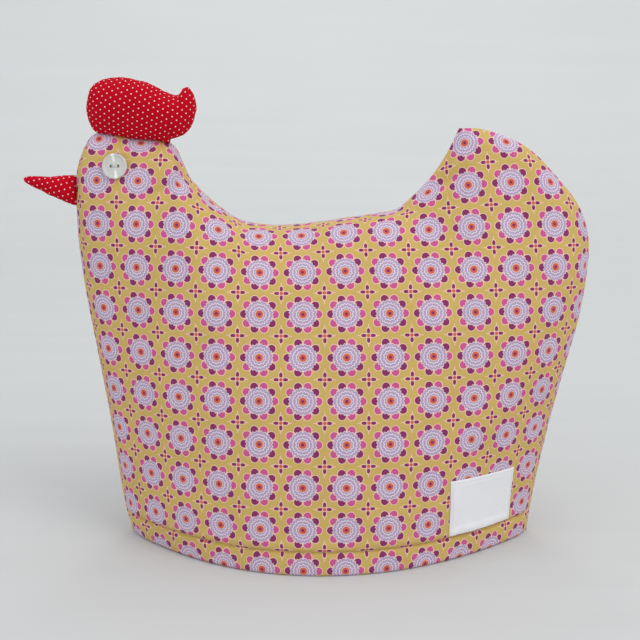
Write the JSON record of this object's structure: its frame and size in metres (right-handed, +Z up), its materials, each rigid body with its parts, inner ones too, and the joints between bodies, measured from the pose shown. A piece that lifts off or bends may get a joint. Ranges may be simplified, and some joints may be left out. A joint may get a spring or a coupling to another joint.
{
  "type": "tea cosy",
  "caption": "Padded hen-shaped tea cosy in printed cotton, open at the hem, with a stuffed comb and beak, button eyes and a sewn-on label.",
  "frame": {"origin": "on the surface the hem stands on, under the middle of the cosy's length and in its seam plane", "axes": "+X from the beak to the rump, +Y from the near panel to the far panel, +Z up"},
  "size_m": [0.3358, 0.1442, 0.2815],
  "materials": {
    "print_cotton": "matte printed cotton over wadding",
    "red_cotton": "matte red cotton with small pale pin dots",
    "pearl": "polished shell button with a soft pearly sheen",
    "satin": "white woven satin label"
  },
  "bodies": {
    "root": {"panel_near": "print_cotton", "panel_far": "print_cotton", "comb": "red_cotton", "beak": "red_cotton", "eye_button_near": "pearl", "eye_button_far": "pearl", "label": "satin"}
  },
  "joints": []
}
